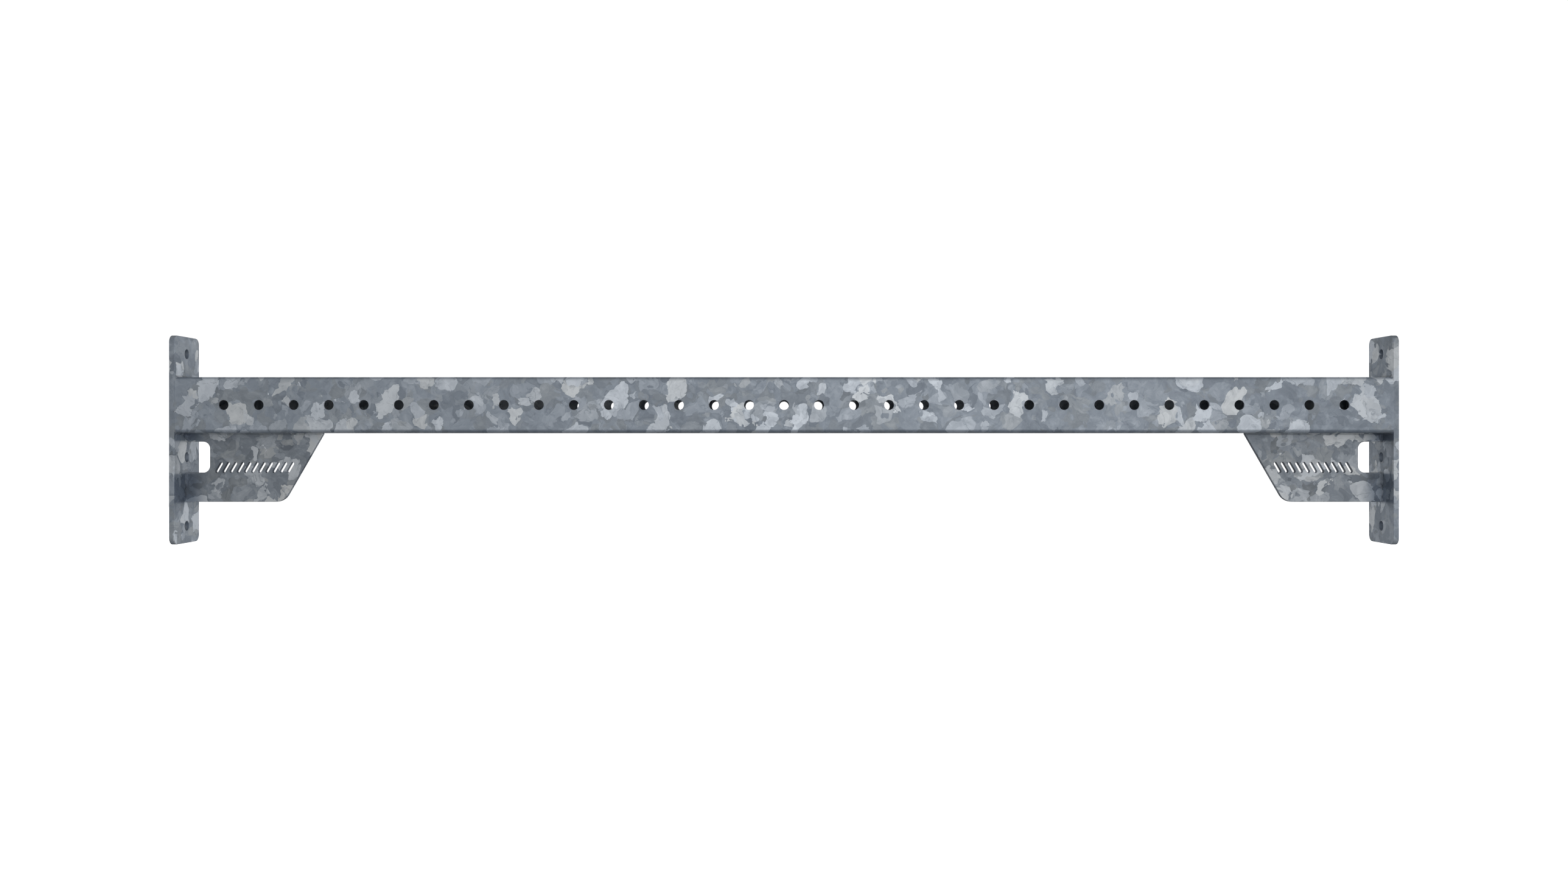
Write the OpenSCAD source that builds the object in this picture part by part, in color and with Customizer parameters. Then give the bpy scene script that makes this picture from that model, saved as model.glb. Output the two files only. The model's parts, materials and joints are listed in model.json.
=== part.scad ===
// Perforated square cross-beam for a training rig, used overhead as a pull up
// bar. A square tube closed by two bolt-on end plates, each braced by a gusset
// plate under the tube, all joined by weld beads and hot-dip galvanised.
// X runs along the beam, -Y is the front, +Z is up. The origin is the centre
// of the whole beam, midway between the end plates and at half their height.

/* [Beam tube] */
// Length of the square tube between the two end plates
tube_length = 1740; // [940:100:2340]
// Outer width and height of the square tube
tube_size = 80; // [70:1:84]
// Wall thickness of the square tube
tube_wall = 3; // [2:0.5:5]
// Outer radius of the tube's rounded corners
tube_corner_r = 6; // [5:1:10]
// Height of the tube's centre above the centre of the end plates
tube_lift = 50; // [48:1:55]

/* [Bolt holes] */
// Diameter of every bolt hole
hole_d = 14; // [10:0.5:16]
// Distance from one hole to the next, in the tube and in the end plates
hole_pitch = 50; // [48:1:52]
// Least distance from an end plate to the centre of the tube's last hole
hole_margin = 60; // [40:5:90]
// Number of holes down each end plate
plate_holes = 6; // [4:2:6]

/* [End plates] */
// Height of an end plate
plate_height = 300; // [290:10:360]
// Thickness of an end plate
plate_thickness = 8; // [6:1:12]
// Radius of an end plate's corners
plate_corner_r = 10; // [5:1:15]

/* [Gussets] */
// Length of a gusset along the tube
gusset_length = 200; // [180:10:260]
// Height of a gusset below the tube
gusset_height = 100; // [99:1:110]
// Thickness of a gusset
gusset_thickness = 8; // [5:1:12]
// Angle between a gusset's sloping edge and the tube
gusset_slope = 60; // [50:5:75]
// Radius where a gusset's sloping edge meets its bottom edge
gusset_tip_r = 20; // [10:1:25]
// Reach of the spanner notch, from the end plate into the gusset
notch_reach = 35; // [25:1:38]
// Height of the spanner notch
notch_height = 45; // [30:1:50]
// Radius of the spanner notch's inner corners
notch_r = 10; // [4:1:12]

/* [Cut stripes] */
// Number of slanted stripes cut through each gusset
stripe_count = 11; // [3:2:11]
// Distance from one stripe to the next
stripe_pitch = 10.4; // [8:0.2:11]
// Width of a stripe
stripe_w = 4.4; // [3:0.2:5]
// Height of the row of stripes
stripe_rise = 15.6; // [10:0.2:20]

/* [Welds] */
// Leg of every fillet weld
weld_leg = 3; // [2:0.5:5]
// Width of the flush groove weld at the tube's front and back
groove_w = 3; // [2:0.5:4]
// Clear distance that a weld keeps from the rim of a hole
hole_clearance = 2; // [1:0.5:2]

/* [Hidden] */
$fn = 96;
END_PIECES = ["end_plate", "gusset",
    "tube_weld_top", "tube_weld_bottom", "tube_weld_front", "tube_weld_back",
    "gusset_plate_weld_upper_front", "gusset_plate_weld_upper_back",
    "gusset_plate_weld_lower_front", "gusset_plate_weld_lower_back",
    "gusset_tube_weld_front", "gusset_tube_weld_back"];

cut = 1; // how far a cutting shape runs past what it cuts
zinc = [0.56, 0.59, 0.62];
zinc_plate = [0.52, 0.55, 0.58];
zinc_bead = [0.60, 0.62, 0.64];

// Tube
half_tube = tube_size / 2;
inner_corner_r = max(tube_corner_r - tube_wall, 1);
tube_bottom = tube_lift - half_tube;
tube_top = tube_lift + half_tube;
hole_steps = floor((tube_length / 2 - hole_margin) / hole_pitch);
flat_half = half_tube - tube_corner_r; // half the flat width of a side
groove_depth = tube_wall - 0.5; // the root of the groove stops short of the bore

// End plate: its inner face lies at half the tube's length
plate_x = tube_length / 2;
break_hole_z = -1.5 * hole_pitch; // the hole that the gusset's lower end stands across

// Gusset: outline points run along the beam from the end plate, and down from the tube
slope_run = gusset_height / tan(gusset_slope);
tip_tangent = gusset_tip_r * tan(gusset_slope / 2);
tip_x = gusset_length - slope_run; // where the slope and the bottom edge would meet
notch_mid = tube_bottom + hole_pitch / 2; // the notch is centred on the middle bolt
notch_top = notch_mid - notch_height / 2;
notch_bottom = notch_mid + notch_height / 2;
stripe_mid_x = gusset_length / 2;
stripe_mid_y = gusset_height / 2;

// A rectangle with rounded corners, centred
module rounded_rectangle(w, h, r) {
    square([w - 2 * r, h], center = true);
    square([w, h - 2 * r], center = true);
    for (sx = [-1, 1], sy = [-1, 1])
        translate([sx * (w / 2 - r), sy * (h / 2 - r)]) circle(r);
}

// A slot with round ends, centred, standing upright
module slot(w, h) {
    square([w, h - w], center = true);
    for (s = [-1, 1]) translate([0, s * (h - w) / 2]) circle(w / 2);
}

// A 2D shape drawn along X and Y, stood up in the XZ plane and centred on Y = 0
module upright(thickness)
    translate([0, thickness / 2, 0]) rotate([90, 0, 0]) linear_extrude(thickness) children();

// The children at the right end, or mirrored at the left end
module at_end(side) mirror([side == "left" ? 1 : 0, 0, 0]) children();

// A straight fillet bead with its root along +Z and its legs along +X and +Y
module fillet(length) linear_extrude(length)
    polygon([[0, 0], [weld_leg, 0], [0, weld_leg]]);

// The groove bead, front or back, that fills the bevel on the tube's end
module groove(face) translate([plate_x, face * half_tube, tube_lift - flat_half])
    linear_extrude(2 * flat_half)
    polygon([[0, 0], [-groove_w, 0], [0, -face * groove_depth]]);

module beam_tube() color(zinc) difference() {
    translate([-plate_x, 0, tube_lift]) rotate([90, 0, 90]) linear_extrude(tube_length)
        difference() {
            rounded_rectangle(tube_size, tube_size, tube_corner_r);
            rounded_rectangle(tube_size - 2 * tube_wall, tube_size - 2 * tube_wall, inner_corner_r);
        }
    for (step = [-hole_steps:hole_steps])
        translate([step * hole_pitch, 0, tube_lift]) rotate([90, 0, 0])
            cylinder(d = hole_d, h = tube_size + 2 * cut, center = true);
    for (side = ["left", "right"], face = [-1, 1]) at_end(side) groove(face);
}

module end_plate() color(zinc_plate)
    translate([plate_x, 0, 0]) rotate([90, 0, 90]) difference() {
        linear_extrude(plate_thickness)
            rounded_rectangle(tube_size, plate_height, plate_corner_r);
        for (row = [0:plate_holes - 1])
            translate([0, (row - (plate_holes - 1) / 2) * hole_pitch, -cut])
                cylinder(d = hole_d, h = plate_thickness + 2 * cut);
    }

// The gusset's outline with the end plate at X = 0 and the tube at Y = 0
module gusset_outline() {
    tip_arc = [for (a = [0:5:gusset_slope]) gusset_tip_r * [sin(a), -cos(a)]];
    tip_centre = [tip_x - tip_tangent, gusset_tip_r - gusset_height];
    polygon(concat([[gusset_length, 0], [0, 0], [0, -gusset_height]],
        [for (p = tip_arc) tip_centre + p]));
}

// The spanner notch, open towards the end plate
module notch_outline() {
    translate([-cut, -notch_bottom]) square([notch_reach - notch_r + cut, notch_height]);
    translate([-cut, -notch_bottom + notch_r]) square([notch_reach + cut, notch_height - 2 * notch_r]);
    for (y = [-notch_bottom + notch_r, -notch_top - notch_r])
        translate([notch_reach - notch_r, y]) circle(notch_r);
}

// A row of slots that lean the same way as the sloping edge
module stripes_outline() {
    lean = 90 - gusset_slope;
    long = (stripe_rise - stripe_w) / cos(lean) + stripe_w;
    for (i = [0:stripe_count - 1])
        translate([stripe_mid_x + (i - (stripe_count - 1) / 2) * stripe_pitch, -stripe_mid_y])
            rotate(-lean) slot(stripe_w, long);
}

module gusset() color(zinc_plate)
    translate([plate_x, 0, tube_bottom]) mirror([1, 0, 0]) upright(gusset_thickness)
        difference() {
            gusset_outline();
            notch_outline();
            stripes_outline();
        }

// Tube to end plate, above the tube
module tube_weld_top() color(zinc_bead)
    translate([plate_x, flat_half, tube_top])
        rotate([90, 0, 0]) mirror([1, 0, 0]) fillet(2 * flat_half);

// Tube to end plate, below the tube, in front of and behind the gusset
module tube_weld_bottom() color(zinc_bead)
    for (s = [0, 1]) mirror([0, s, 0])
        translate([plate_x, flat_half, tube_bottom])
            rotate([90, 0, 0]) mirror([1, 0, 0]) mirror([0, 1, 0])
                fillet(flat_half - gusset_thickness / 2);

module tube_weld(face) color(zinc_bead) groove(face);

// Gusset to end plate, on one face of the gusset, between two heights
module gusset_plate_weld(face, low, high) color(zinc_bead)
    translate([plate_x, face * gusset_thickness / 2, low])
        mirror([1, 0, 0]) mirror([0, face < 0 ? 1 : 0, 0]) fillet(high - low);

module gusset_plate_weld_upper(face)
    gusset_plate_weld(face, tube_bottom - notch_top, tube_bottom - weld_leg);

// Below the notch the weld breaks off at the bolt hole that the gusset stands across
module gusset_plate_weld_lower(face) {
    break_half = hole_d / 2 + hole_clearance;
    gusset_plate_weld(face, break_hole_z + break_half, tube_bottom - notch_bottom);
    gusset_plate_weld(face, tube_bottom - gusset_height, break_hole_z - break_half);
}

// Gusset to tube, on one face of the gusset, up to the other beads at the end plate
module gusset_tube_weld(face) color(zinc_bead)
    translate([plate_x - gusset_length, face * gusset_thickness / 2, tube_bottom])
        mirror([0, face < 0 ? 1 : 0, 0]) rotate([90, 0, 90]) mirror([0, 1, 0])
            fillet(gusset_length - weld_leg);

module end_piece(piece) {
    if (piece == "end_plate") end_plate();
    if (piece == "gusset") gusset();
    if (piece == "tube_weld_top") tube_weld_top();
    if (piece == "tube_weld_bottom") tube_weld_bottom();
    if (piece == "tube_weld_front") tube_weld(-1);
    if (piece == "tube_weld_back") tube_weld(1);
    if (piece == "gusset_plate_weld_upper_front") gusset_plate_weld_upper(-1);
    if (piece == "gusset_plate_weld_upper_back") gusset_plate_weld_upper(1);
    if (piece == "gusset_plate_weld_lower_front") gusset_plate_weld_lower(-1);
    if (piece == "gusset_plate_weld_lower_back") gusset_plate_weld_lower(1);
    if (piece == "gusset_tube_weld_front") gusset_tube_weld(-1);
    if (piece == "gusset_tube_weld_back") gusset_tube_weld(1);
}

beam_tube();
for (side = ["left", "right"], piece = END_PIECES)
    at_end(side) end_piece(piece);
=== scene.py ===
"""Looks of the galvanised rig crossbeam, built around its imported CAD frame.

X runs along the beam, -Y is its front and +Z is up; everything is in metres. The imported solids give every
place. Each one is stood for by a piece with the real thing's rounded edges: the tube, the two end plates,
the two gussets and the weld beads. All of them wear hot-dip zinc with its frozen spangle.
"""

import json
import math

import bmesh
import bpy
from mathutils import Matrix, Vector, noise
from mathutils.geometry import delaunay_2d_cdt


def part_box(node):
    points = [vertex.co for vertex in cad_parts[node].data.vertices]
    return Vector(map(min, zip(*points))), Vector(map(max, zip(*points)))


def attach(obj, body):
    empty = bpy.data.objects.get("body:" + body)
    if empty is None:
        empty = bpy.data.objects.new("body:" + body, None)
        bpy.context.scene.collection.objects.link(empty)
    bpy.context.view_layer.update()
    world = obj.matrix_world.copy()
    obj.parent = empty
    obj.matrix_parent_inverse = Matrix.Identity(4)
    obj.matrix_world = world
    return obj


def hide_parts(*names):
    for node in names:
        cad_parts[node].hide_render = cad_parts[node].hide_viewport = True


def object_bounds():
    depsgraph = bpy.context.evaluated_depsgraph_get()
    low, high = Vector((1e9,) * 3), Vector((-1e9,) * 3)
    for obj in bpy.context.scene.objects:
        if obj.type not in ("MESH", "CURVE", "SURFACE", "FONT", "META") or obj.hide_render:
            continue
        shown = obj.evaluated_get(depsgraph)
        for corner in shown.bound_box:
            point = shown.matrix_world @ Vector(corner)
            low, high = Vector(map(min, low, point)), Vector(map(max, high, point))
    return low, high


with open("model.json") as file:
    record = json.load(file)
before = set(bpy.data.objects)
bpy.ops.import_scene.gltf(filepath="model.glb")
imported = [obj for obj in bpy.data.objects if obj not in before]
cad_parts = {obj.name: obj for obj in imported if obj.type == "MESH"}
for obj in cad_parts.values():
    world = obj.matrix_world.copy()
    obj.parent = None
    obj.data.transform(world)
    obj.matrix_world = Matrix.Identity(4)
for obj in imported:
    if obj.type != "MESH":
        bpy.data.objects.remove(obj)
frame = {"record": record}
cad_low, cad_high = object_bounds()

MM = 0.001
SIDES = {"left": -1, "right": 1}
FACES = {"front": -1, "back": 1}

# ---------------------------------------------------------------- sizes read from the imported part

tube_low, tube_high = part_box("beam_tube")
plate_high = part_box("right_end_plate")[1]
gusset_low, gusset_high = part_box("right_gusset")
mounts = {mount["name"]: mount for mount in frame["record"]["mounts"]}

tube_middle_z = (tube_low.z + tube_high.z) / 2
half_tube = (tube_high.z - tube_low.z) / 2
plate_x = tube_high.x  # where the tube ends and the end plate begins
hole_r = mounts["beam_holes_middle"]["dims"]["hole_r_mm"] * MM
hole_pitch = mounts["beam_holes_middle"]["dims"]["spacing_x_mm"] * MM
hole_row_half = max(m["dims"].get("spacing_x_mm", 0) for m in mounts.values()) * MM / 2
plate_row_half = max(m["dims"].get("spacing_y_mm", 0) for m in mounts.values()) * MM / 2
notch_middle_z = mounts["right_plate_lower_bolts"]["pos_m"][2] + hole_pitch
weld_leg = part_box("right_tube_weld_top")[1].z - tube_high.z

# ---------------------------------------------------------------- sizes that the frame doesn't name

TUBE_WALL = 3 * MM
TUBE_CORNER_R = 6 * MM
PLATE_CORNER_R = 10 * MM
NOTCH_REACH = 35 * MM
NOTCH_HEIGHT = 45 * MM
NOTCH_R = 10 * MM
GUSSET_SLOPE = math.radians(60)
GUSSET_TIP_R = 20 * MM
STRIPE_COUNT = 11
STRIPE_PITCH = 10.4 * MM
STRIPE_W = 4.4 * MM
STRIPE_RISE = 15.6 * MM
HOLE_CLEARANCE = 2 * MM  # what a weld keeps from the rim of a hole

PLATE_EDGE_R = 0.8 * MM  # rounding of every cut edge under the zinc
HOLE_EDGE_R = 0.5 * MM
SHARP_CORNER_R = 1.2 * MM  # outline radius of a gusset's corners that the drawing leaves sharp
HOLE_STEPS = 48
EDGE_STEPS = 4
CORNER_STEPS = 10
ARC_STEP = math.radians(9)
SAME_POINT = 0.001 * MM  # points closer than this are joined
SHARP_EDGE = 40  # degrees; a flatter edge is shaded smooth
SHARP_BEAD_EDGE = 70


# ---------------------------------------------------------------- outlines, as loops of 2D points


def arc(centre, radius, start, stop, steps):
    """Points on an arc from start to stop, in radians, both ends included."""
    angles = [start + (stop - start) * i / steps for i in range(steps + 1)]
    return [Vector(centre) + radius * Vector((math.cos(a), math.sin(a))) for a in angles]


def hole(centre, radius):
    """A round hole. Holes run clockwise, so that a loop's right side is always air."""
    return arc(centre, radius, 0, -2 * math.pi, HOLE_STEPS)[:-1]


def slot(centre, width, length, lean):
    """A hole with round ends, length overall, leaning from upright by that angle."""
    along = Vector((math.sin(lean), math.cos(lean)))
    reach = (length - width) / 2
    turn = -lean
    top = arc(Vector(centre) + reach * along, width / 2, math.pi + turn, turn, CORNER_STEPS)
    bottom = arc(Vector(centre) - reach * along, width / 2, turn, turn - math.pi, CORNER_STEPS)
    return top + bottom


def rounded(corners):
    """A closed outline from (x, y, radius) corners, anticlockwise, each corner rounded to its radius."""
    loop = []
    for i, (x, y, radius) in enumerate(corners):
        here = Vector((x, y))
        arriving = (here - Vector(corners[i - 1][:2])).normalized()
        leaving = (Vector(corners[(i + 1) % len(corners)][:2]) - here).normalized()
        turn = arriving.angle_signed(leaving) * -1
        side = math.copysign(1, turn)
        inward = Vector((-arriving.y, arriving.x)) * side
        centre = here - arriving * radius * math.tan(abs(turn) / 2) + inward * radius
        start = math.atan2(-inward.y, -inward.x)
        steps = max(3, round(abs(turn) / ARC_STEP))
        loop += arc(centre, radius, start, start + turn, steps)
    return loop


def outward(loop):
    """For each point of a loop, the step that moves its two edges one unit towards the air."""
    steps = []
    for i, point in enumerate(loop):
        before = (point - loop[i - 1]).normalized()
        after = (loop[(i + 1) % len(loop)] - point).normalized()
        normal_before = Vector((before.y, -before.x))
        normal_after = Vector((after.y, -after.x))
        steps.append((normal_before + normal_after) / (1 + normal_before.dot(normal_after)))
    return steps


# ---------------------------------------------------------------- meshes


def edge_profile(thickness, radius):
    """(inset, height) of each ring over a plate's edge, from one flat face round to the other."""
    quarter = [
        (radius * (1 - math.sin(a)), thickness / 2 - radius * (1 - math.cos(a)))
        for a in (math.pi / 2 * i / EDGE_STEPS for i in range(EDGE_STEPS + 1))
    ]
    return quarter + [(inset, -height) for inset, height in reversed(quarter)]


class Skin:
    """Points and faces of one closed piece. Faces that meet are joined when the piece is made."""

    def __init__(self):
        self.points = []
        self.faces = []

    def band(self, rings, closed=True):
        """Quads between one ring of points and the next."""
        first = len(self.points)
        size = len(rings[0])
        for ring in rings:
            self.points += ring
        for row in range(len(rings) - 1):
            for i in range(size if closed else size - 1):
                j = (i + 1) % size
                low, high = first + row * size, first + (row + 1) * size
                self.faces.append((low + i, low + j, high + j, high + i))

    def sweep(self, rings):
        """A closed solid along the rings, with a flat face over the first and the last."""
        self.band(rings)
        for ring in (rings[0], rings[-1]):
            first = len(self.points)
            self.points += ring
            self.faces.append(tuple(range(first, first + len(ring))))

    def fill(self, loops, place):
        """A flat face inside the first loop and outside the others, its 2D points put where place says."""
        flat = [point for loop in loops for point in loop]
        borders, start = [], 0
        for loop in loops:
            borders.append(list(range(start, start + len(loop))))
            start += len(loop)
        inside_with_holes = 2
        same_point = 1e-9
        made = delaunay_2d_cdt(flat, [], borders, inside_with_holes, same_point)
        first = len(self.points)
        self.points += [place(point) for point in made[0]]
        self.faces += [tuple(first + i for i in face) for face in made[2]]

    def slab(self, outline, holes, thickness, radius, place, open_border=False):
        """A plate with rounded edges. place turns (2D point, height) into a point in space.
        With open_border its outline has no edge of its own, so that a skin can carry on from there."""
        profile = edge_profile(thickness, radius)
        loops = [outline, *holes]
        moves = [outward(loop) for loop in loops]
        for loop, steps in list(zip(loops, moves))[1 if open_border else 0 :]:
            rings = [
                [place(p - inset * s, height) for p, s in zip(loop, steps)]
                for inset, height in profile
            ]
            self.band(rings)
        inset_loops = [
            loop if open_border and loop is outline else [p - radius * s for p, s in zip(loop, steps)]
            for loop, steps in zip(loops, moves)
        ]
        for height in (thickness / 2, -thickness / 2):
            self.fill(inset_loops, lambda point, height=height: place(point, height))

    def make(self, name, sharp_angle=SHARP_EDGE):
        mesh = bpy.data.meshes.new(name)
        mesh.from_pydata([tuple(p) for p in self.points], [], self.faces)
        work = bmesh.new()
        work.from_mesh(mesh)
        bmesh.ops.remove_doubles(work, verts=work.verts, dist=SAME_POINT)
        bmesh.ops.recalc_face_normals(work, faces=work.faces)
        work.to_mesh(mesh)
        work.free()
        mesh.shade_smooth()
        mesh.set_sharp_from_angle(angle=math.radians(sharp_angle))
        piece = bpy.data.objects.new(name, mesh)
        bpy.context.scene.collection.objects.link(piece)
        return piece


def finish_piece(piece, node, material):
    """Gives a finished piece its material and hangs it on the beam; its CAD node is hidden."""
    piece.data.materials.append(material)
    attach(piece, "root")
    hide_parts(node)


def even_normals(piece):
    """Keeps the flats flat where they meet a rounded edge."""
    weighted = piece.modifiers.new("even_normals", "WEIGHTED_NORMAL")
    weighted.keep_sharp = True


# ---------------------------------------------------------------- zinc


class Graph:
    """Adds nodes to one material. An input is a number, a colour, or another node's output."""

    def __init__(self, name):
        self.material = bpy.data.materials.new(name)
        self.material.use_nodes = True
        self.tree = self.material.node_tree
        self.surface = self.tree.nodes["Principled BSDF"]

    def feed(self, socket, value):
        if isinstance(value, bpy.types.NodeSocket):
            self.tree.links.new(value, socket)
        else:
            socket.default_value = value

    def node(self, kind, inputs, **settings):
        made = self.tree.nodes.new("ShaderNode" + kind)
        for name, value in settings.items():
            setattr(made, name, value)
        for socket, value in inputs.items():
            self.feed(made.inputs[socket], value)
        return made

    def math(self, operation, *values):
        return self.node("Math", dict(enumerate(values)), operation=operation).outputs[0]

    def vector(self, operation, *values):
        return self.node("VectorMath", dict(enumerate(values)), operation=operation).outputs[0]

    def fade(self, value, low, high, start=0.0, stop=1.0):
        """start below low, stop above high, and a smooth change between them."""
        inputs = {"Value": value, "From Min": low, "From Max": high, "To Min": start, "To Max": stop}
        return self.node("MapRange", inputs, interpolation_type="SMOOTHSTEP").outputs[0]

    def lessen(self, value, left):
        """1 where value is 0, down to left where it is 1."""
        return self.math("MULTIPLY_ADD", value, left - 1, 1.0)

    def position(self, place):
        return self.node("SeparateXYZ", {"Vector": place}).outputs

    def mix(self, share, low, high, kind="FLOAT", blend="MIX"):
        """low turning into high as share goes from 0 to 1."""
        made = self.node("Mix", {}, data_type=kind, blend_type=blend)
        sockets = [socket for socket in made.inputs if socket.enabled]
        for socket, value in zip(sockets, (share, low, high)):
            self.feed(socket, value)
        return next(socket for socket in made.outputs if socket.enabled)

    def noise(self, where, size, detail=2.0, roughness=0.5):
        inputs = {"Vector": where, "Scale": 1 / size, "Detail": detail, "Roughness": roughness}
        return self.node("TexNoise", inputs)

    def warp(self, where, size, reach, detail=1.0, share=1.0):
        """where, pushed about by noise of that size, in the places where share isn't 0."""
        push = self.noise(where, size, detail).outputs["Color"]
        centred = self.vector("SUBTRACT", push, (0.5, 0.5, 0.5))
        noise_span = 0.25  # noise seldom strays further than this from its middle
        strength = self.math("MULTIPLY", share, reach / noise_span)
        scaled = self.node("VectorMath", {0: centred, "Scale": strength}, operation="SCALE").outputs[0]
        return self.vector("ADD", where, scaled)

    def stretched(self, where, turn, length):
        """Space drawn out along its own Z. Another turn, in radians, gives another direction and start."""
        inputs = {"Vector": where, "Location": (turn, 2 * turn, 3 * turn), "Scale": (1, 1, length)}
        inputs["Rotation"] = (turn, 1.7 * turn, 2.3 * turn)
        return self.node("Mapping", inputs, vector_type="TEXTURE").outputs[0]

    def cells(self, where, size):
        """Two random numbers for each cell of that size, and how far a point is from its middle."""
        made = self.node("TexVoronoi", {"Vector": where, "Scale": 1 / size, "Randomness": 1.0})
        split = self.node("SeparateColor", {"Color": made.outputs["Color"]}).outputs
        return split[0], split[1], made.outputs["Distance"]

    def splintered(self, where, size, share):
        """where, drawn towards the middles of small cells, so that what is cut from it has splintered rims.
        Also gives a random number for each small cell."""
        made = self.node("TexVoronoi", {"Vector": where, "Scale": 1 / size, "Randomness": 1.0})
        drawn = self.mix(share, where, made.outputs["Position"], "VECTOR")
        shade = self.node("SeparateColor", {"Color": made.outputs["Color"]}).outputs[0]
        return drawn, shade

    def creases(self, where, place, size, width, patch):
        """1 on the lines between cells of that size, which show only in patches of place."""
        inputs = {"Vector": where, "Scale": 1 / size}
        made = self.node("TexVoronoi", inputs, feature="DISTANCE_TO_EDGE")
        line = self.fade(made.outputs["Distance"], 0.0, width / size, 1.0, 0.0)
        shows = self.fade(self.noise(place, patch).outputs["Fac"], *CREASED)
        return self.math("MULTIPLY", line, shows)


def fill_ramp(ramp, stops):
    """Gives a colour ramp these stops of (position, colour)."""
    while len(ramp.elements) < len(stops):
        ramp.elements.new(0.5)
    for element, (position, colour) in zip(ramp.elements, stops):
        element.position = position
        element.color = (*colour, 1.0)


# Crystals lie over each other, the first at the bottom. Size in mm, share of the cells that hold one, its
# reach in cells, its darkest and brightest tone, its drawn-out length, and which way it is turned.
CRYSTALS = (
    (34, 1.00, 0.75, 0.22, 0.36, 1.2, 2.1),
    (22, 0.70, 0.50, 0.13, 0.38, 1.6, 3.7),
    (15, 0.50, 0.46, 0.17, 0.41, 1.9, 5.2),
    (25, 0.50, 0.40, 0.36, 0.58, 1.8, 6.8),
    (9, 0.22, 0.42, 0.22, 0.44, 1.6, 2.3),
    (29, 0.21, 0.45, 0.66, 0.89, 1.7, 3.1),
    (26, 0.17, 0.45, 0.68, 0.92, 1.7, 5.8),
    (18, 0.17, 0.36, 0.50, 0.80, 1.4, 7.3),
)
# Smaller ones only tint what lies under them: size in mm, share, depth, turn
TINTS = ((15, 0.6, 0.18, 6.9), (9, 0.5, 0.13, 3.6), (4.5, 0.4, 0.08, 5.3))
TINT_LENGTH = 1.6
TINT_RIM = (0.56, 0.50)  # in cells from its middle, from bare to covered
# Where in the pattern the beam's middle lies, in metres
CRYSTAL_START = (0.9, 0.35, 0.6)

# Levels of noise between which the rims go from smooth to torn, and between which creases begin to show
TORN = (0.42, 0.56)
CREASED = (0.47, 0.59)

# Tone runs from 0, the darkest zinc, to 1; warmth picks which crystals lean to yellow
GROUND_TONE = 0.3
GROUND_WARMTH = 0.4
BRIGHT_FLAKE = 0.7  # a layer that reaches a brighter tone than this is one of flakes
SHADES = ((0.0, (0.165, 0.195, 0.235)), (0.30, (0.305, 0.348, 0.405)), (0.85, (0.62, 0.67, 0.73)))
WARM_TINT = (1.03, 1.0, 0.95, 1.0)
SHADE_AND_SEAM_SHARES = {"Green": 0.92, "Blue": 0.80}  # of what red loses, so painted shade and the seam hairline are a little bluer
METALLIC = 0.35
ROUGHNESS_DARK = 0.68
ROUGHNESS_FALL = -0.18  # from the darkest tone to the brightest

# How rims are broken up: least everywhere, and so much more where they are torn
RAGGED_LEAST, RAGGED_MORE = 0.2, 0.8
SPLINTERED_LEAST, SPLINTERED_MORE = 0.15, 0.48

HIDES = 0.92  # a crystal's share of the tone where it covers others
RIM_DARKER = -0.10  # how its tone changes one cell from its middle
REACH_VARIES = 0.2  # in cells, how much further the brightest one of a layer reaches than the darkest
RESHUFFLE = 7.3  # turns one random number into another

# How far each of these moves the tone: the splinters' own shades, feathering, painted glints and drift
FACET_TONE = 0.16
FEATHER_TONE = 0.09
GLINT_TONE = 0.09
DRIFT_TONE = 0.16

# Relief, as shares of the bump's depth
LAYER_HEIGHT = 0.1
FEATHER_HEIGHT = 0.2
CREASE_HEIGHT = -0.3
BUMP_STRENGTH = 0.4
BUMP_DEPTH = 0.25 * MM

# What is left of the tone under painted shade: in a thin dark rim beside a flake, which stands in for the
# shadow of its raised edge, in a crease and in a long crack
FLAKE_SHADOW_LEFT = 0.66
CREASE_SHADE_LEFT = 0.76
CRACK_SHADE_LEFT = 0.58
FLAKE_SHADOW_WIDTH = 1.6  # in mm, as the crystals' sizes are

# What is left of the colour under painted shade, and in the seam hairline
SHADE_LEFT_BESIDE_WELDS = 0.44
SHADE_LEFT_IN_BOLT_HOLES = 0.6
SHADE_LEFT_ON_CUT_FACES = 0.55
SHADE_LEFT_ON_TUBE_CORNERS = 0.7
LEFT_AT_END_SEAMS = 0.7
UPPER_SHADE_BAND_TRIM = 1.8 * MM  # the painted shade band is that much narrower on the tube's upper corners


# Painted shade in places, and a dark hairline at the tube's end seams. Each gives 1 on open surface and less
# where it darkens.


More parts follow.
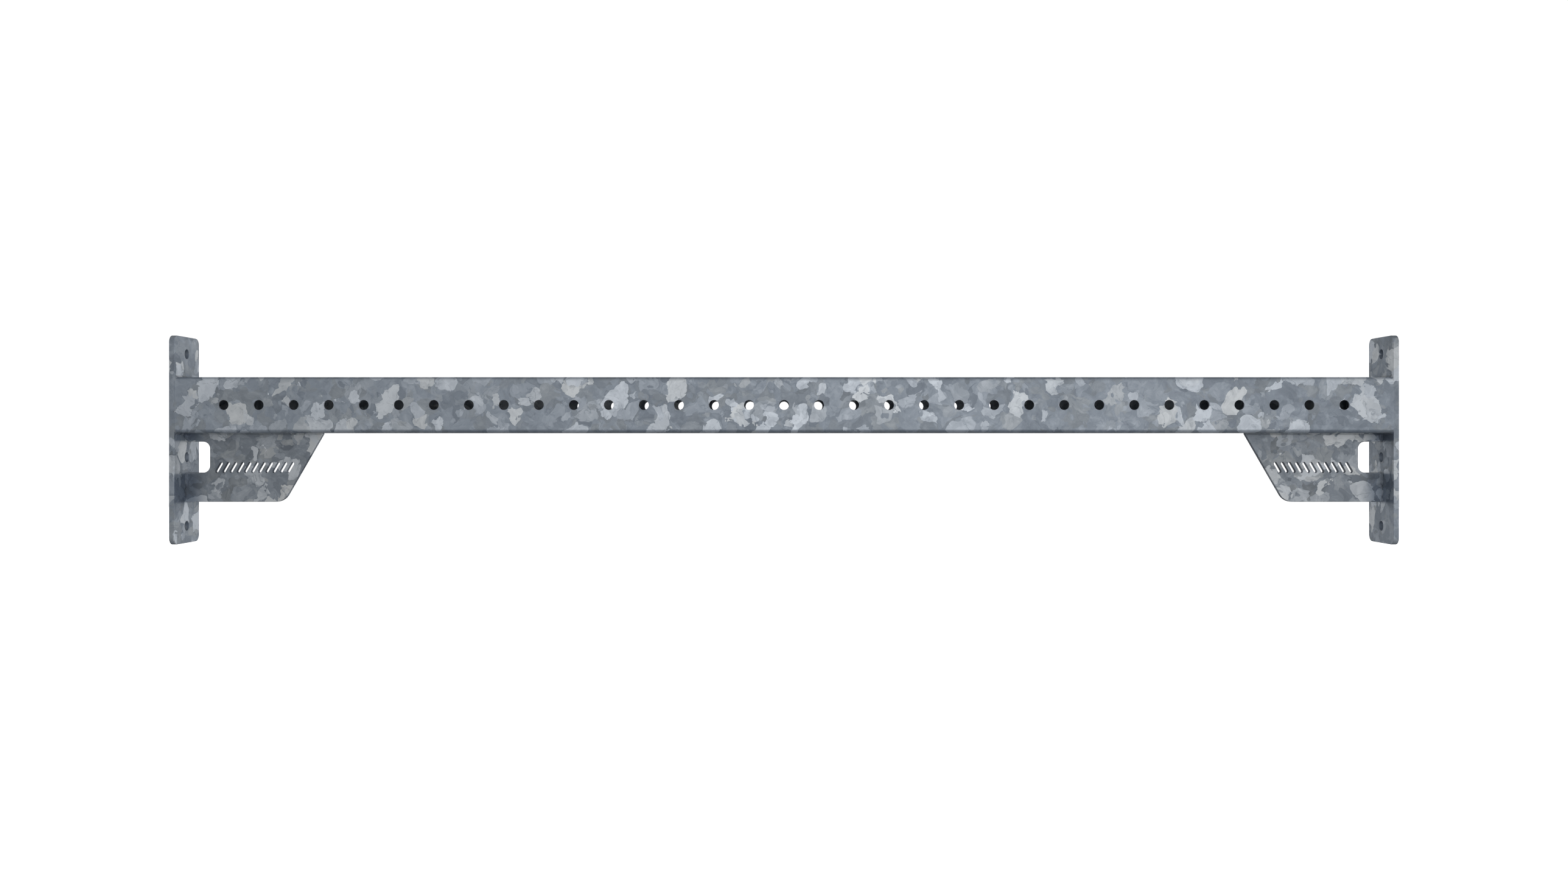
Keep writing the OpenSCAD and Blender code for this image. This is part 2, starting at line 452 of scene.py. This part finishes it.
def painted_shade_beside_welds(g, place):
    """Painted shade in the corners where the gussets are welded to the end plates."""
    x, y, z = g.position(place)
    from_plate = g.math("SUBTRACT", plate_x, g.math("ABSOLUTE", x))
    from_gusset = g.math("SUBTRACT", g.math("ABSOLUTE", y), gusset_high.y)
    drawn_out = g.math("MULTIPLY", from_gusset, 0.4)  # the painted shade reaches further along the plate
    corner = g.node("CombineXYZ", {"X": from_plate, "Y": drawn_out}).outputs[0]
    away = g.node("VectorMath", {0: corner}, operation="LENGTH").outputs["Value"]
    corner_shade = g.fade(away, 8 * MM, 34 * MM, 1.0, 0.0)
    above = g.fade(z, gusset_low.z - 3 * MM, gusset_low.z + 2 * MM)
    from_notch = g.math("ABSOLUTE", g.math("SUBTRACT", z, notch_middle_z))
    off_notch = g.fade(from_notch, NOTCH_HEIGHT / 2 - 1 * MM, NOTCH_HEIGHT / 2 + 3 * MM)
    below = g.fade(z, tube_low.z, tube_low.z + 3 * MM, 1.0, 0.0)
    inside = g.math("GREATER_THAN", from_plate, -0.5 * MM)
    for share in (above, off_notch, below, inside):
        corner_shade = g.math("MULTIPLY", corner_shade, share)
    return g.lessen(corner_shade, SHADE_LEFT_BESIDE_WELDS)


def painted_shade_in_bolt_holes(g, place):
    """Painted shade on the walls of the end plates' bolt holes."""
    x, y, z = g.position(place)
    thickness = plate_high.x - plate_x
    depth = g.math("SUBTRACT", g.math("ABSOLUTE", x), plate_x)
    past_face = g.fade(depth, 0.3 * MM, 1.0 * MM)
    before_face = g.fade(depth, thickness - 1.0 * MM, thickness - 0.3 * MM, 1.0, 0.0)
    near_row = g.math("LESS_THAN", g.math("ABSOLUTE", y), hole_r + 1 * MM)
    off_rim = g.math("LESS_THAN", g.math("ABSOLUTE", z), plate_high.z - PLATE_CORNER_R)
    within = g.math("MULTIPLY", past_face, before_face)
    walls = g.math("MULTIPLY", within, g.math("MULTIPLY", near_row, off_rim))
    return g.lessen(walls, SHADE_LEFT_IN_BOLT_HOLES)


def painted_shade_on_cut_faces(g, place):
    """Painted shade on everything cut through a gusset: its rim, its notch and its stripes."""
    depth = g.math("ABSOLUTE", g.position(place)["Y"])
    face = gusset_high.y
    return g.fade(depth, face - PLATE_EDGE_R, face - 0.2 * MM, SHADE_LEFT_ON_CUT_FACES, 1.0)


def painted_shade_on_tube_corners(g, place):
    """Painted shade along the tube's rounded corners."""
    _, y, z = g.position(place)
    flat = half_tube - TUBE_CORNER_R
    past_y = g.math("SUBTRACT", g.math("ABSOLUTE", y), flat)
    past_z = g.math("SUBTRACT", g.math("ABSOLUTE", g.math("SUBTRACT", z, tube_middle_z)), flat)
    upper = g.math("GREATER_THAN", z, tube_middle_z)
    past_z = g.math("MULTIPLY_ADD", upper, -UPPER_SHADE_BAND_TRIM, past_z)
    return g.fade(g.math("MINIMUM", past_y, past_z), 0.7 * MM, 2.2 * MM, 1.0, SHADE_LEFT_ON_TUBE_CORNERS)


def at_end_seams(g, place):
    """A hairline, broken in places, where the tube's end meets an end plate."""
    x = g.position(place)["X"]
    past = g.math("SUBTRACT", g.math("ABSOLUTE", x), plate_x + 0.2 * MM)
    line = g.fade(g.math("ABSOLUTE", past), 0.15 * MM, 0.6 * MM, 1.0, 0.0)
    shows = g.fade(g.noise(place, 60 * MM, 1.0).outputs["Fac"], 0.35, 0.55)
    return g.lessen(g.math("MULTIPLY", line, shows), LEFT_AT_END_SEAMS)


def crystals(g, place, torn):
    """The layers of crystals: their tone, their warmth and their relief."""
    tone, warmth, relief = GROUND_TONE, GROUND_WARMTH, 0.0
    for i, (size, share, reach, darkest, brightest, length, turn) in enumerate(CRYSTALS):
        drawn = g.stretched(place, turn, length)
        pick, shade, distance = g.cells(drawn, size * MM)
        rim = g.math("SUBTRACT", g.math("MULTIPLY_ADD", shade, REACH_VARIES, reach), distance)
        holds = g.math("GREATER_THAN", pick, 1 - share)
        covers = g.math("MULTIPLY", g.fade(rim, 0.0, 0.5 / size), holds)
        own = g.math("MULTIPLY_ADD", shade, brightest - darkest, darkest)
        own = g.math("MULTIPLY_ADD", distance, RIM_DARKER, own)
        if brightest > BRIGHT_FLAKE:
            # painted shadow: a bright flake stands in a thin dark rim, where it is torn
            flake_shadow = g.math("MULTIPLY", g.fade(rim, -FLAKE_SHADOW_WIDTH / size, 0.0), holds)
            flake_shadow = g.math("MULTIPLY", flake_shadow, g.fade(torn, 0.2, 0.8))
            tone = g.math("MULTIPLY", tone, g.lessen(flake_shadow, FLAKE_SHADOW_LEFT))
        tone = g.mix(g.math("MULTIPLY", covers, HIDES), tone, own)
        warmth = g.mix(covers, warmth, g.math("FRACT", g.math("MULTIPLY", shade, RESHUFFLE)))
        relief = g.mix(covers, relief, g.math("ADD", own, LAYER_HEIGHT * i))
    return tone, warmth, relief


def tints(g, place, tone):
    """tone, made lighter or darker in each of the smaller crystals."""
    for size, share, depth, turn in TINTS:
        drawn = g.stretched(place, turn, TINT_LENGTH)
        pick, shade, distance = g.cells(drawn, size * MM)
        holds = g.math("GREATER_THAN", pick, 1 - share)
        covers = g.math("MULTIPLY", g.fade(distance, *TINT_RIM), holds)
        tint = g.math("MULTIPLY", g.math("SUBTRACT", shade, 0.5), 2 * depth)
        tone = g.math("MULTIPLY", tone, g.math("MULTIPLY_ADD", covers, tint, 1.0))
    return tone


def galvanised(name, coat=(1, 1, 1), spangle=1.0, painted_shade_and_seams=()):
    """Hot-dip zinc: bright torn flakes on a quilt of grey crystals, each with its own tint.
    coat multiplies its colour; spangle is how far the crystals differ in tone."""
    g = Graph(name)
    place = g.node("TexCoord", {}).outputs["Object"]
    cast = g.vector("ADD", place, CRYSTAL_START)
    bent = g.warp(cast, size=30 * MM, reach=6 * MM)
    torn = g.fade(g.noise(place, size=19 * MM).outputs["Fac"], *TORN)
    raggedness = g.math("MULTIPLY_ADD", torn, RAGGED_MORE, RAGGED_LEAST)
    ragged = g.warp(bent, size=5 * MM, reach=1.6 * MM, detail=3.0, share=raggedness)
    splintering = g.math("MULTIPLY_ADD", torn, SPLINTERED_MORE, SPLINTERED_LEAST)
    splinters, facet = g.splintered(ragged, size=8 * MM, share=splintering)

    tone, warmth, relief = crystals(g, splinters, torn)
    tone = tints(g, ragged, tone)
    tone = g.math("MULTIPLY", tone, g.math("MULTIPLY_ADD", facet, FACET_TONE, 1 - FACET_TONE / 2))

    # Creases across the flakes, feathering along them, painted glints as soft pale streaks, and a slow drift
    # in how dull the coat is
    along_creases = g.warp(bent, size=11 * MM, reach=3 * MM, detail=2.0)
    crease = g.creases(along_creases, place, size=21 * MM, width=0.95 * MM, patch=8 * MM)
    along_cracks = g.warp(bent, size=25 * MM, reach=9 * MM, detail=3.0)
    crack = g.creases(along_cracks, place, size=43 * MM, width=0.9 * MM, patch=19 * MM)
    along_feathers = g.stretched(ragged, turn=0.4, length=6.0)
    feather = g.noise(along_feathers, size=1.5 * MM, detail=3.0, roughness=0.6).outputs["Fac"]
    along_glint_streaks = g.stretched(bent, turn=2.2, length=2.0)
    glint_streaks = g.fade(g.noise(along_glint_streaks, size=9 * MM, detail=3.0).outputs["Fac"], 0.48, 0.72)
    drift = g.noise(place, size=160 * MM, detail=1.0).outputs["Fac"]
    # painted shade in the creases and cracks; their relief comes from the bump
    tone = g.math("MULTIPLY", tone, g.lessen(crease, CREASE_SHADE_LEFT))
    tone = g.math("MULTIPLY", tone, g.lessen(crack, CRACK_SHADE_LEFT))
    tone = g.math("MULTIPLY_ADD", g.math("SUBTRACT", feather, 0.5), FEATHER_TONE, tone)
    tone = g.math("MULTIPLY_ADD", glint_streaks, GLINT_TONE, tone)
    tone = g.math("MULTIPLY_ADD", g.math("SUBTRACT", drift, 0.5), DRIFT_TONE, tone)
    tone = g.math("MULTIPLY_ADD", tone, spangle, GROUND_TONE * (1 - spangle))

    ramp = g.node("ValToRGB", {"Fac": tone})
    coated = [(at, [share * full for share, full in zip(coat, colour)]) for at, colour in SHADES]
    fill_ramp(ramp.color_ramp, coated)
    warm_share = g.fade(warmth, 0.45, 1.0)
    colour = g.mix(warm_share, ramp.outputs["Color"], WARM_TINT, "RGBA", "MULTIPLY")
    # each of these is painted shade, except the hairline at the tube's end seams
    for darkening in painted_shade_and_seams:
        left = darkening(g, place)
        shade = {"Red": left}
        for channel, share in SHADE_AND_SEAM_SHARES.items():
            shade[channel] = g.math("MULTIPLY_ADD", left, share, 1 - share)
        colour = g.mix(1.0, colour, g.node("CombineColor", shade).outputs[0], "RGBA", "MULTIPLY")
    g.feed(g.surface.inputs["Base Color"], colour)

    g.surface.inputs["Metallic"].default_value = METALLIC
    g.feed(g.surface.inputs["Roughness"], g.math("MULTIPLY_ADD", tone, ROUGHNESS_FALL, ROUGHNESS_DARK))

    height = g.math("MULTIPLY_ADD", crease, CREASE_HEIGHT, relief)
    height = g.math("MULTIPLY_ADD", feather, FEATHER_HEIGHT, height)
    bump = g.node("Bump", {"Strength": BUMP_STRENGTH, "Distance": BUMP_DEPTH, "Height": height})
    g.feed(g.surface.inputs["Normal"], bump.outputs["Normal"])
    return g.material


zinc_on_tube = galvanised("zinc_on_tube", painted_shade_and_seams=[painted_shade_on_tube_corners, at_end_seams])
zinc_on_plates = galvanised(
    "zinc_on_plates", coat=(0.92, 0.92, 0.92), spangle=1.1, painted_shade_and_seams=[painted_shade_beside_welds, painted_shade_in_bolt_holes]
)
zinc_on_gussets = galvanised(
    "zinc_on_gussets", coat=(0.885, 0.87, 0.85), spangle=1.3, painted_shade_and_seams=[painted_shade_beside_welds, painted_shade_on_cut_faces]
)
zinc_on_welds = galvanised("zinc_on_welds", coat=(0.80, 0.79, 0.78), spangle=1.2, painted_shade_and_seams=[painted_shade_beside_welds])


# ---------------------------------------------------------------- the square tube


def build_tube():
    skin = Skin()
    flat = half_tube - TUBE_CORNER_R
    wall_corners = ((-plate_x, -flat), (plate_x, -flat), (plate_x, flat), (-plate_x, flat))
    wall = [Vector((x, z)) for x, z in wall_corners]
    count = round(hole_row_half / hole_pitch)
    row = [hole((step * hole_pitch, 0), hole_r) for step in range(-count, count + 1)]
    middle = half_tube - TUBE_WALL / 2
    for face in (-1, 1):
        skin.slab(wall, row, TUBE_WALL, HOLE_EDGE_R,
                  lambda p, h, face=face: Vector((p.x, face * (middle + h), tube_middle_z + p.y)),
                  open_border=True)
    rings = {}
    for skin_name, inset in (("outer", 0), ("inner", TUBE_WALL)):
        section = []
        for quarter in range(4):
            start = quarter * math.pi / 2
            diagonal = start + math.pi / 4
            signs = (math.copysign(1, math.cos(diagonal)), math.copysign(1, math.sin(diagonal)))
            centre = (flat * signs[0], flat * signs[1])
            section.append(arc(centre, TUBE_CORNER_R - inset, start, start + math.pi / 2, CORNER_STEPS))
        ends = [
            [[Vector((x, p.x, tube_middle_z + p.y)) for p in part] for part in section]
            for x in (-plate_x, plate_x)
        ]
        for quarter in range(4):
            skin.band([ends[0][quarter], ends[1][quarter]], closed=False)
        for first, second in ((0, 1), (2, 3)):  # the top and the bottom run from corner to corner
            skin.band([[end[first][-1], end[second][0]] for end in ends], closed=False)
        rings[skin_name] = [[point for part in end for point in part] for end in ends]
    for outer, inner in zip(rings["outer"], rings["inner"]):
        skin.band([outer, inner])
    piece = skin.make("beam_tube_galvanised")
    even_normals(piece)
    finish_piece(piece, "beam_tube", zinc_on_tube)


# ---------------------------------------------------------------- end plates and gussets


def build_end_plate(side, sign):
    half_y = plate_high.y
    half_z = plate_high.z
    corners = [(-half_y, -half_z), (half_y, -half_z), (half_y, half_z), (-half_y, half_z)]
    outline = rounded([(y, z, PLATE_CORNER_R) for y, z in corners])
    count = round(2 * plate_row_half / hole_pitch) + 1
    holes = [hole((0, i * hole_pitch - plate_row_half), hole_r) for i in range(count)]
    thickness = plate_high.x - plate_x
    middle = plate_x + thickness / 2
    skin = Skin()
    skin.slab(outline, holes, thickness, PLATE_EDGE_R,
              lambda p, h: Vector((sign * (middle + h), p.x, p.y)))
    piece = skin.make(f"{side}_end_plate_galvanised")
    even_normals(piece)
    finish_piece(piece, f"{side}_end_plate", zinc_on_plates)


def build_gusset(side, sign):
    """Its outline is drawn with the end plate at 0 and the beam's middle towards +x."""
    length = gusset_high.x - gusset_low.x
    top, bottom = gusset_high.z, gusset_low.z
    tip = length - (top - bottom) / math.tan(GUSSET_SLOPE)
    notch_low, notch_high = (notch_middle_z + s * NOTCH_HEIGHT / 2 for s in (-1, 1))
    outline = rounded([
        (0, bottom, SHARP_CORNER_R),
        (tip, bottom, GUSSET_TIP_R),
        (length, top, SHARP_CORNER_R),
        (0, top, SHARP_CORNER_R),
        (0, notch_high, SHARP_CORNER_R),
        (NOTCH_REACH, notch_high, NOTCH_R),
        (NOTCH_REACH, notch_low, NOTCH_R),
        (0, notch_low, SHARP_CORNER_R),
    ])
    lean = math.pi / 2 - GUSSET_SLOPE
    stripe_length = (STRIPE_RISE - STRIPE_W) / math.cos(lean) + STRIPE_W
    middle = Vector((length / 2, (top + bottom) / 2))
    stripes = [
        slot(middle + Vector(((i - (STRIPE_COUNT - 1) / 2) * STRIPE_PITCH, 0)), STRIPE_W, stripe_length, lean)
        for i in range(STRIPE_COUNT)
    ]
    thickness = gusset_high.y - gusset_low.y
    skin = Skin()
    skin.slab(outline, stripes, thickness, PLATE_EDGE_R,
              lambda p, h: Vector((sign * (plate_x - p.x), h, p.y)))
    piece = skin.make(f"{side}_gusset_galvanised")
    even_normals(piece)
    finish_piece(piece, f"{side}_gusset", zinc_on_gussets)


# ---------------------------------------------------------------- weld beads

RIPPLE_PITCH = 1.7 * MM
RIPPLE_RISE = 0.077 * MM
BEAD_STEP = 0.4 * MM
BEAD_ROWS = 8
BEAD_CROWN = -0.10  # in legs; below 0 the bead is hollow
BEAD_TAPER = 1.6  # in legs, how far from its ends a bead has its full size
BEAD_END_SIZE = 0.2  # a bead's share of its full size at its very ends
RIPPLE_LEAN = 0.6  # below 1 a ripple rises fast, levels off and then drops to the next
RIPPLE_BOW = 0.55  # in ripples, how far each one bows forward in the bead's middle
WANDER = 0.09  # in legs, how far a bead's toes wander
WANDERS_PER_M = 230  # cells of noise
BITE = 0.12 * MM  # how deep a bead's toes run into the plates

GRIND_STEP = 2 * BEAD_STEP
GRIND_OVERLAP = 1.1 * MM  # of a flush weld onto the end plate's rounded edge
GRIND_PAST_FLAT = 0.4 * MM  # of a flush weld onto the tube's rounded corners
GRIND_SINK = 0.1 * MM  # its edges lie that deep
GRIND_PROUD = 0.12 * MM  # its middle rises that far from there
GRIND_WOBBLE = 0.2 * MM
GRIND_WOBBLES_PER_M = 160
GRIND_END_SIZE = 0.15
GRIND_SWELLING = 12  # full sizes that it would gain from there along its whole length
GRIND_FLATNESS = 0.8  # below 1 its crown is flatter than a parabola

# A fillet as it runs out round the tube's corner: its toe's least reach, and its share of the room there is
CORNER_TOE = 0.2 * MM
CORNER_TOE_SHARE = 0.45
CORNER_ALONG = 0.8 * MM
CORNER_ALONG_SHARE = 0.8


def bead(skin, stations):
    """A weld bead along stations of (root, leg, leg): each leg a vector from the root along one plate."""
    length = 0.0
    rings = []
    total = sum((b[0] - a[0]).length for a, b in zip(stations, stations[1:]))
    for i, (root, leg_a, leg_b) in enumerate(stations):
        if i:
            length += (root - stations[i - 1][0]).length
        size = (leg_a.length + leg_b.length) / 2
        to_end = min(length, total - length)
        taper = 1 - min(1.0, to_end / (BEAD_TAPER * size))
        swell = max(BEAD_END_SIZE, math.sqrt(1 - taper**2))
        wander = 1 + WANDER * noise.noise(root * WANDERS_PER_M)
        out = (leg_a + leg_b).normalized()
        ring = []
        for row in range(BEAD_ROWS + 1):
            q = row / BEAD_ROWS
            hump = 4 * q * (1 - q)
            phase = length / RIPPLE_PITCH - RIPPLE_BOW * hump
            wave = (phase - math.floor(phase)) ** RIPPLE_LEAN
            rise = BEAD_CROWN * size * hump + RIPPLE_RISE * hump * (wave - 0.5)
            chord = leg_a * (1 - q) + leg_b * q
            ring.append(root + swell * (wander * chord + rise * out) - BITE * (1 - hump) * out)
        ring.append(root - BITE * 2 * out)
        rings.append(ring)
    skin.sweep(rings)


def straight(start, stop, leg_a, leg_b):
    """Evenly spaced stations from start to stop with the same legs all along."""
    count = max(4, round((stop - start).length / BEAD_STEP))
    return [(start.lerp(stop, i / count), leg_a, leg_b) for i in range(count + 1)]


def tube_corner_stations(sign, y_sign, z_sign):
    """From the tube's front or back face round its corner to the flat, where a fillet can start.
    The leg on the end plate shrinks as the corner nears the plate's own edge."""
    stations = []
    flat = half_tube - TUBE_CORNER_R
    centre = Vector((0, y_sign * flat, z_sign * flat))
    count = round(math.pi / 2 * TUBE_CORNER_R / BEAD_STEP)
    for i in range(count):
        turn = math.pi / 2 * (1 - i / count)
        outwards = Vector((0, y_sign * math.sin(turn), z_sign * math.cos(turn)))
        root = Vector((sign * plate_x, 0, tube_middle_z)) + centre + TUBE_CORNER_R * outwards
        room = TUBE_CORNER_R * (1 - math.sin(turn)) / max(math.sin(turn), 0.01)
        leg = min(weld_leg, CORNER_TOE + CORNER_TOE_SHARE * room)
        along = min(weld_leg, CORNER_ALONG + CORNER_ALONG_SHARE * leg)
        stations.append((root, Vector((-sign * along, 0, 0)), leg * outwards))
    return stations


def build_tube_fillets(side, sign):
    """The welds above and below the tube; the lower one stops at the gusset."""
    flat = half_tube - TUBE_CORNER_R
    leg_a = Vector((-sign * weld_leg, 0, 0))
    for name, z_sign, gap in (("top", 1, 0.0), ("bottom", -1, gusset_high.y)):
        skin = Skin()
        leg_b = Vector((0, 0, z_sign * weld_leg))
        z = tube_middle_z + z_sign * half_tube
        halves = []
        for y_sign in (-1, 1):
            start = Vector((sign * plate_x, y_sign * flat, z))
            stop = Vector((sign * plate_x, y_sign * gap, z))
            halves.append(tube_corner_stations(sign, y_sign, z_sign) + straight(start, stop, leg_a, leg_b))
        if gap:
            for half in halves:
                bead(skin, half)
        else:
            bead(skin, halves[0] + halves[1][-2::-1])
        node = f"{side}_tube_weld_{name}"
        finish_piece(skin.make(f"{node}_bead", SHARP_BEAD_EDGE), node, zinc_on_welds)


def build_flush_welds(side, sign):
    """The groove welds at the front and back, ground down until they stand a hair proud."""
    flat = half_tube - TUBE_CORNER_R
    groove_low, groove_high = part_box(f"{side}_tube_weld_front")
    across = Vector((-sign * (groove_high.x - groove_low.x + GRIND_OVERLAP), 0, 0))
    root_x = sign * (plate_x + GRIND_OVERLAP)
    half_length = flat + GRIND_PAST_FLAT
    for name, y_sign in FACES.items():
        skin = Skin()
        y = y_sign * (half_tube - GRIND_SINK)
        start, stop = (Vector((root_x, y, tube_middle_z + s * half_length)) for s in (-1, 1))
        keel = Vector((0, y_sign * 4 * GRIND_SINK, 0))
        rings = []
        count = round((stop - start).length / GRIND_STEP)
        for i in range(count + 1):
            share = i / count
            base = start.lerp(stop, share)
            swell = min(1.0, GRIND_SWELLING * min(share, 1 - share) + GRIND_END_SIZE)
            ring = []
            for row in range(BEAD_ROWS + 1):
                q = row / BEAD_ROWS
                proud = GRIND_PROUD * (4 * q * (1 - q)) ** GRIND_FLATNESS * swell
                wobble = GRIND_WOBBLE * noise.noise(base * GRIND_WOBBLES_PER_M + Vector((7 * q, 0, 0)))
                ring.append(base + across * q + Vector((wobble, y_sign * proud, 0)))
            ring.append(base + across * 0.5 - keel)
            rings.append(ring)
        skin.sweep(rings)
        node = f"{side}_tube_weld_{name}"
        finish_piece(skin.make(f"{node}_bead", SHARP_BEAD_EDGE), node, zinc_on_tube)


def build_gusset_welds(side, sign):
    """Fillets on both faces of the gusset: to the end plate above and below the notch, and to the tube."""
    for name, y_sign in FACES.items():
        y = y_sign * gusset_high.y
        away = Vector((0, y_sign * weld_leg, 0))
        inwards = Vector((-sign * weld_leg, 0, 0))
        for place in ("upper", "lower"):
            node = f"{side}_gusset_plate_weld_{place}_{name}"
            low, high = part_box(node)
            if place == "upper":
                spans = [(low.z, tube_low.z)]
            else:
                # broken off where the gusset stands across a bolt hole
                clear = hole_r + HOLE_CLEARANCE
                hole_z = notch_middle_z - hole_pitch
                spans = [(low.z, hole_z - clear), (hole_z + clear, high.z)]
            skin = Skin()
            for bottom, top in spans:
                start, stop = (Vector((sign * plate_x, y, z)) for z in (bottom, top))
                bead(skin, straight(start, stop, inwards, away))
            finish_piece(skin.make(f"{node}_bead", SHARP_BEAD_EDGE), node, zinc_on_welds)
        node = f"{side}_gusset_tube_weld_{name}"
        low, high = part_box(node)
        far = min(abs(low.x), abs(high.x))
        start, stop = (Vector((sign * x, y, tube_low.z)) for x in (far + 1 * MM, plate_x))
        skin = Skin()
        bead(skin, straight(start, stop, away, Vector((0, 0, -weld_leg))))
        finish_piece(skin.make(f"{node}_bead", SHARP_BEAD_EDGE), node, zinc_on_gussets)


build_tube()
for side, sign in SIDES.items():
    build_end_plate(side, sign)
    build_gusset(side, sign)
    build_tube_fillets(side, sign)
    build_flush_welds(side, sign)
    build_gusset_welds(side, sign)


# ---------------------------------------------------------------- stage, light and camera

FLOOR_DROP = 3.0  # the beam hangs clear of the floor, as it does on a rig
FLOOR_HALF = 60.0
BACKDROP_GLOW = 1.1  # of the floor, and of what is behind the beam

# Light from around, as (height, level): height runs from 0, straight down, to 1, straight up
HORIZON = ((0.0, 0.08), (0.38, 0.44), (0.62, 0.56), (1.0, 0.36))
RIGHT_BIAS = 0.25  # that much brighter on the right, and darker on the left

# Square lamps that face the beam's middle: place, size and power in watts
SOFTBOXES = {
    "key": ((0.5, -2.9, 0.0), 1.8, 32),
    "right": ((3.4, -0.3, 0.1), 1.4, 12),
    "left": ((-3.4, 0.3, 0.1), 1.4, 9),
    "back_left": ((-2.3, 2.7, 0.2), 1.8, 22),
    "back_right": ((2.3, 2.7, 0.2), 1.8, 22),
}

CAMERA_DISTANCE = 1.9247
CAMERA_LENS = 30.32
CAMERA_SENSOR = 36


def build_floor():
    mesh = bpy.data.meshes.new("floor")
    level = cad_low.z - FLOOR_DROP
    corners = [(x * FLOOR_HALF, y * FLOOR_HALF, level) for x, y in ((-1, -1), (1, -1), (1, 1), (-1, 1))]
    mesh.from_pydata(corners, [], [(0, 1, 2, 3)])
    floor = bpy.data.objects.new("floor", mesh)
    bpy.context.scene.collection.objects.link(floor)
    paper = bpy.data.materials.new("white_paper")
    paper.use_nodes = True
    surface = paper.node_tree.nodes["Principled BSDF"]
    surface.inputs["Base Color"].default_value = (0.9, 0.9, 0.9, 1)
    surface.inputs["Roughness"].default_value = 1.0
    surface.inputs["Emission Color"].default_value = (1, 1, 1, 1)
    surface.inputs["Emission Strength"].default_value = BACKDROP_GLOW
    mesh.materials.append(paper)
    floor.visible_diffuse = False
    floor.visible_glossy = False


def build_world():
    """White behind the object, which is lit by a soft band round the horizon, brighter on the right."""
    world = bpy.data.worlds.new("studio")
    bpy.context.scene.world = world
    world.use_nodes = True
    tree = world.node_tree
    tree.nodes.clear()

    def node(kind, **settings):
        made = tree.nodes.new("ShaderNode" + kind)
        for name, value in settings.items():
            setattr(made, name, value)
        return made

    direction = node("SeparateXYZ")
    tree.links.new(node("TexCoord").outputs["Generated"], direction.inputs[0])
    band = node("ValToRGB")
    lifted = node("Math", operation="MULTIPLY_ADD")
    tree.links.new(direction.outputs["Z"], lifted.inputs[0])
    lifted.inputs[1].default_value = 0.5  # turns -1 to 1, from down to up, into 0 to 1
    lifted.inputs[2].default_value = 0.5
    tree.links.new(lifted.outputs[0], band.inputs["Fac"])
    band.color_ramp.interpolation = "EASE"
    fill_ramp(band.color_ramp, [(at, (level, level, level)) for at, level in HORIZON])
    slant = node("Math", operation="MULTIPLY_ADD")
    tree.links.new(direction.outputs["X"], slant.inputs[0])
    slant.inputs[1].default_value = RIGHT_BIAS
    slant.inputs[2].default_value = 1.0
    strength = node("Math", operation="MULTIPLY")
    tree.links.new(band.outputs[0], strength.inputs[0])
    tree.links.new(slant.outputs[0], strength.inputs[1])
    lighting = node("Background")
    tree.links.new(strength.outputs[0], lighting.inputs["Strength"])
    backdrop = node("Background")
    backdrop.inputs["Strength"].default_value = BACKDROP_GLOW
    backdrop.inputs["Color"].default_value = (1, 1, 1, 1)
    choose = node("MixShader")
    tree.links.new(node("LightPath").outputs["Is Camera Ray"], choose.inputs[0])
    tree.links.new(lighting.outputs[0], choose.inputs[1])
    tree.links.new(backdrop.outputs[0], choose.inputs[2])
    tree.links.new(choose.outputs[0], node("OutputWorld").inputs[0])


def add_softbox(name, place, size, watts):
    light = bpy.data.lights.new(name, "AREA")
    light.shape = "SQUARE"
    light.size = size
    light.energy = watts
    lamp = bpy.data.objects.new(name, light)
    lamp.location = place
    lamp.rotation_euler = (-Vector(place)).to_track_quat("-Z", "Y").to_euler()
    lamp.visible_camera = False
    bpy.context.scene.collection.objects.link(lamp)


def add_camera():
    camera = bpy.data.cameras.new("camera")
    camera.lens = CAMERA_LENS
    camera.sensor_width = CAMERA_SENSOR
    holder = bpy.data.objects.new("camera", camera)
    holder.location = (0, -CAMERA_DISTANCE, 0)
    holder.rotation_euler = (math.pi / 2, 0, 0)
    bpy.context.scene.collection.objects.link(holder)
    bpy.context.scene.camera = holder


build_floor()
build_world()
for name, (place, size, watts) in SOFTBOXES.items():
    add_softbox(name, place, size, watts)
add_camera()
bpy.context.scene.view_settings.view_transform = "Standard"
